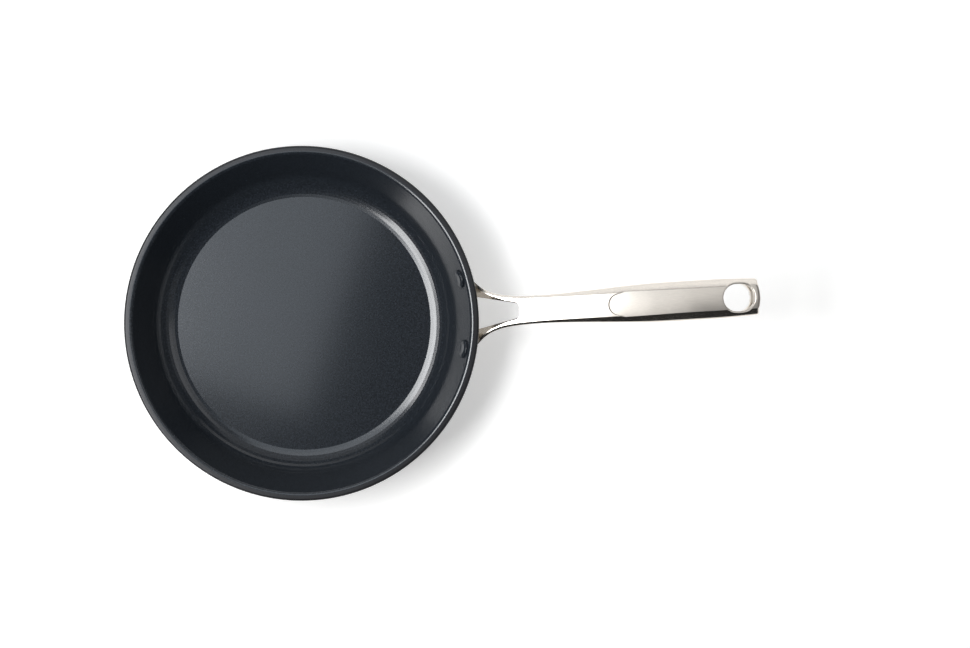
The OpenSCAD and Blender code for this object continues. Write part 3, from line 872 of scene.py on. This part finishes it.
def topPath(x, trim, drop):
    # top half from seam to seam, its face lowered by the thumb step's drop
    seam, knee, shoulder = sideCorners(x, trim)
    t = shoulder[0] + drop / math.tan(math.radians(handle["facetSlope"]))
    across = [-t + 2 * t * s for s in shares(grip["crownSteps"])]
    face = [(y, shoulder[1] + handle["crown"] * (1 - (y / t) ** 2) - drop) for y in across]
    path = [(-seam[0], seam[1]), (-knee[0], knee[1])] + face + [knee, seam]
    count = len(path)
    edgeReach, kneeReach = reachAt(x, "edgeReach"), reachAt(x, "kneeReach")
    rounds = {1: kneeReach, 2: edgeReach, count - 3: edgeReach, count - 2: kneeReach}
    return softened(path, rounds, grip["edgeSteps"])


def underPath(x, trim, drop):
    # bottom half from seam to seam; the thumb step doesn't reach it
    half = underCurve(x, grip["underSteps"], trim)
    return [(-y, z) for y, z in half] + half[-2::-1]


def shellRing(station, pathAt, heightAt, swept, lift):
    # the outer skin and back along the inner one; every point takes the section of its own place
    x, sweep, spread, drop, trim, inside = station
    thick = handle["shell"]
    outer, inner = [], []
    for j, (y, _) in enumerate(pathAt(x, trim, drop)):
        here = ringPlace(x, min(1, abs(y) / faceHalf(x)), swept * sweep, swept * spread)
        y, z = pathAt(here, trim, drop)[j]
        w, h = halfWidth(here) - trim, heightAt(here) - trim
        level = seamLevel(here) + lift
        outer.append((here, y, level + z))
        inner.append((here, y * (w - thick) / w, level + z * inside * (h - thick) / h))
    return outer + inner[::-1]


def makeShell(name, node, *section):
    bm = bmesh.new()
    rings = [shellRing(station, *section) for station in gripStations()]
    ends = loftRings(bm, rings)
    order = bm.verts.layers.int["order"]
    count = len(rings[0])
    for edges in ends:
        # a strip of faces pairs the outer skin with the inner one
        ring = {v[order]: v for e in edges for v in e.verts}
        for j in range(count // 2 - 1):
            bm.faces.new((ring[j], ring[j + 1], ring[count - 2 - j], ring[count - 1 - j]))
    return finishPiece(name, bm, gripSteel, "grip_steel", node)


def sleeveOutline(radius, shift, level):
    # round outline whose right half is moved towards the handle's end
    soft = hole["shiftSoft"]
    points = []
    for i in range(hole["steps"]):
        a = 2 * math.pi * i / hole["steps"]
        c, s = math.cos(a), math.sin(a)
        points.append((holeX + radius * c + shift * ease((c + soft) / (2 * soft)), radius * s, level))
    return points


def sleeveRings(radius):
    # the hole's outlines from under the handle to over it; the mouth widens towards the top face
    depth = hole["mouthDepth"]
    base = topLine(holeX) + handle["crown"]
    rings = [sleeveOutline(radius, 0, hole["low"]),
             sleeveOutline(radius, 0, base - depth - hole["mouthStep"])]
    rings += [sleeveOutline(radius, hole["mouthRun"] * s ** hole["mouthPower"], base - depth * (1 - s))
              for s in shares(hole["mouthSteps"])]
    return rings + [sleeveOutline(radius, hole["mouthRun"], hole["high"])]


def makeHoleCutter():
    bm = bmesh.new()
    for edges in loftRings(bm, sleeveRings(hole["radius"] + hole["wall"] + hole["cutGap"])):
        capRing(bm, edges)
    return finishPiece("hole_cutter", bm, gripSteel, None)


topShell = makeShell("grip_top_shell", "handle_top_shell", topPath, topHeight, 1, handle["gap"] / 2)
bottomShell = makeShell("grip_bottom_shell", "handle_bottom_shell",
                        underPath, underHeight, 0, -handle["gap"] / 2)
for shell in (topShell, bottomShell):
    cutWith(shell, [makeHoleCutter()])
print("grip pressed")


def surfaceLevel(x, y):
    # level of the handle's top face over a place
    return seamLevel(x) + crownHeight(x, y)


def clipToFaces(ring, below=0):
    # keeps a ring between the handle's underside and its top face, or a little below that
    p = handle["underPower"]
    clipped = []
    for x, y, z in ring:
        ground = seamLevel(x) - underHeight(x) * max(0, 1 - (abs(y) / halfWidth(x)) ** p) ** (1 / p)
        clipped.append((x, y, min(surfaceLevel(x, y) - below, max(ground, z))))
    return clipped


def makeSleeve():
    # liner of the hanging hole; its two ends follow the handle's faces and its top edge is rounded
    edge = hole["edge"]
    outer = sleeveRings(hole["radius"] + hole["wall"])
    inner = sleeveRings(hole["radius"])
    rings = [clipToFaces(ring) for ring in outer]
    for s in shares(hole["edgeSteps"]):
        reach, drop = edge * (1 - math.sin(quarter * s)), edge * (1 - math.cos(quarter * s))
        ring = []
        for (xOut, yOut, _), (xIn, yIn, _) in zip(outer[-1], inner[-1]):
            outwards = Vector((xOut - xIn, yOut - yIn)).normalized()
            x, y = xIn + outwards.x * reach, yIn + outwards.y * reach
            ring.append((x, y, surfaceLevel(x, y) - drop))
        rings.append(ring)
    rings += [clipToFaces(ring, edge) for ring in inner[-2::-1]]
    bm = bmesh.new()
    first, last = loftRings(bm, rings)
    bmesh.ops.bridge_loops(bm, edges=first + last)
    return finishPiece("hang_hole_sleeve_skin", bm, gripSteel, "grip_steel", "hang_hole_sleeve")


sleeve = makeSleeve()
print("sleeve set")

# Studio: a white table whose own glow is painted fill light, six softboxes that the camera doesn't see, and
# a little light all round
studio = {
    "tableSpan": (-1500, -300, 1800, 1500), "tableSquares": 4,
    "tableTone": "#efefee", "tableGlow": 0.44, "tableSpecular": 0.2, "tableRoughness": (0.75, 0.85),
    "tablePatchesPerMetre": 3, "tablePatchDetail": 2.0,
    "softboxes": {
        "key": {
            "place": (-327, -65, 720), "face": (0.985, -0.133, -0.111), "size": (606, 566),
            "radiance": 11.5},
        "overhead": {
            "place": (-107, 168, 518), "face": (0.124, 0.32, -0.939), "size": (330, 432),
            "radiance": 1.53, "tone": "#eff7ff"},
        "above_grip": {
            "place": (285, 120, 500), "face": (0, 0, -1), "size": (270, 280), "radiance": 0.93},
        "back_low": {
            "place": (200, 1250, 195), "face": (0, -1, 0), "size": (2600, 390), "radiance": 1.25},
        "back_high": {
            "place": (60, 1000, 1000), "face": (0, -0.7, -0.71), "size": (1600, 900), "radiance": 0.42},
        "right": {
            "place": (1000, 0, 900), "face": (-0.707, 0, -0.707), "size": (1000, 700), "radiance": 0.2},
    },
    "ambient": 0.03,
}


def makeTable():
    # powder-coated white board: plain, pale and quite matt
    material, shader = newMaterial("white_board")
    place = addNode(material, "ShaderNodeTexCoord").outputs["Object"]
    patches = addNode(material, "ShaderNodeTexNoise", inputs={
        "Vector": place, "Scale": studio["tablePatchesPerMetre"], "Detail": studio["tablePatchDetail"]})
    rough = addNode(material, "ShaderNodeMapRange", inputs={
        "Value": patches.outputs["Fac"],
        "To Min": studio["tableRoughness"][0], "To Max": studio["tableRoughness"][1]})
    link(material, rough.outputs["Result"], shader.inputs["Roughness"])
    shader.inputs["Base Color"].default_value = hexColour(studio["tableTone"])
    shader.inputs["Specular IOR Level"].default_value = studio["tableSpecular"]
    # the board's glow is painted light: an even fill that lifts the shadows on it and keeps it white
    shader.inputs["Emission Color"].default_value = (1, 1, 1, 1)  # a light table: it glows a little itself
    shader.inputs["Emission Strength"].default_value = studio["tableGlow"]
    left, front, right, back = [edge / 1000 for edge in studio["tableSpan"]]
    squares = studio["tableSquares"]
    bm = bmesh.new()
    bmesh.ops.create_grid(bm, x_segments=squares, y_segments=squares, size=0.5)
    bmesh.ops.translate(bm, vec=(0.5, 0.5, 0), verts=bm.verts)
    bmesh.ops.scale(bm, vec=(right - left, back - front, 1), verts=bm.verts)
    bmesh.ops.translate(bm, vec=(left, front, 0), verts=bm.verts)
    mesh = bpy.data.meshes.new("table_top")
    bm.to_mesh(mesh)
    bm.free()
    mesh.materials.append(material)
    table = bpy.data.objects.new("table_top", mesh)
    scene.collection.objects.link(table)


def addSoftbox(name, box):
    # an even rectangle of light, wide side level, that faces the given way
    data = bpy.data.lights.new(name, "AREA")
    data.shape = "RECTANGLE"
    data.size, data.size_y = box["size"][0] / 1000, box["size"][1] / 1000
    data.energy = box["radiance"] * math.pi * data.size * data.size_y
    data.color = hexColour(box.get("tone", "#ffffff"))[:3]
    light = bpy.data.objects.new(name, data)
    light.location = Vector(box["place"]) / 1000
    light.rotation_euler = Vector(box["face"]).to_track_quat("-Z", "Y").to_euler()
    light.visible_camera = False
    scene.collection.objects.link(light)


makeTable()
for name, box in studio["softboxes"].items():
    addSoftbox(name + "_softbox", box)
world = bpy.data.worlds.new("studio")
scene.world = world
world.use_nodes = True
world.node_tree.nodes["Background"].inputs["Color"].default_value = (1, 1, 1, 1)
world.node_tree.nodes["Background"].inputs["Strength"].default_value = studio["ambient"]
print("studio lit")
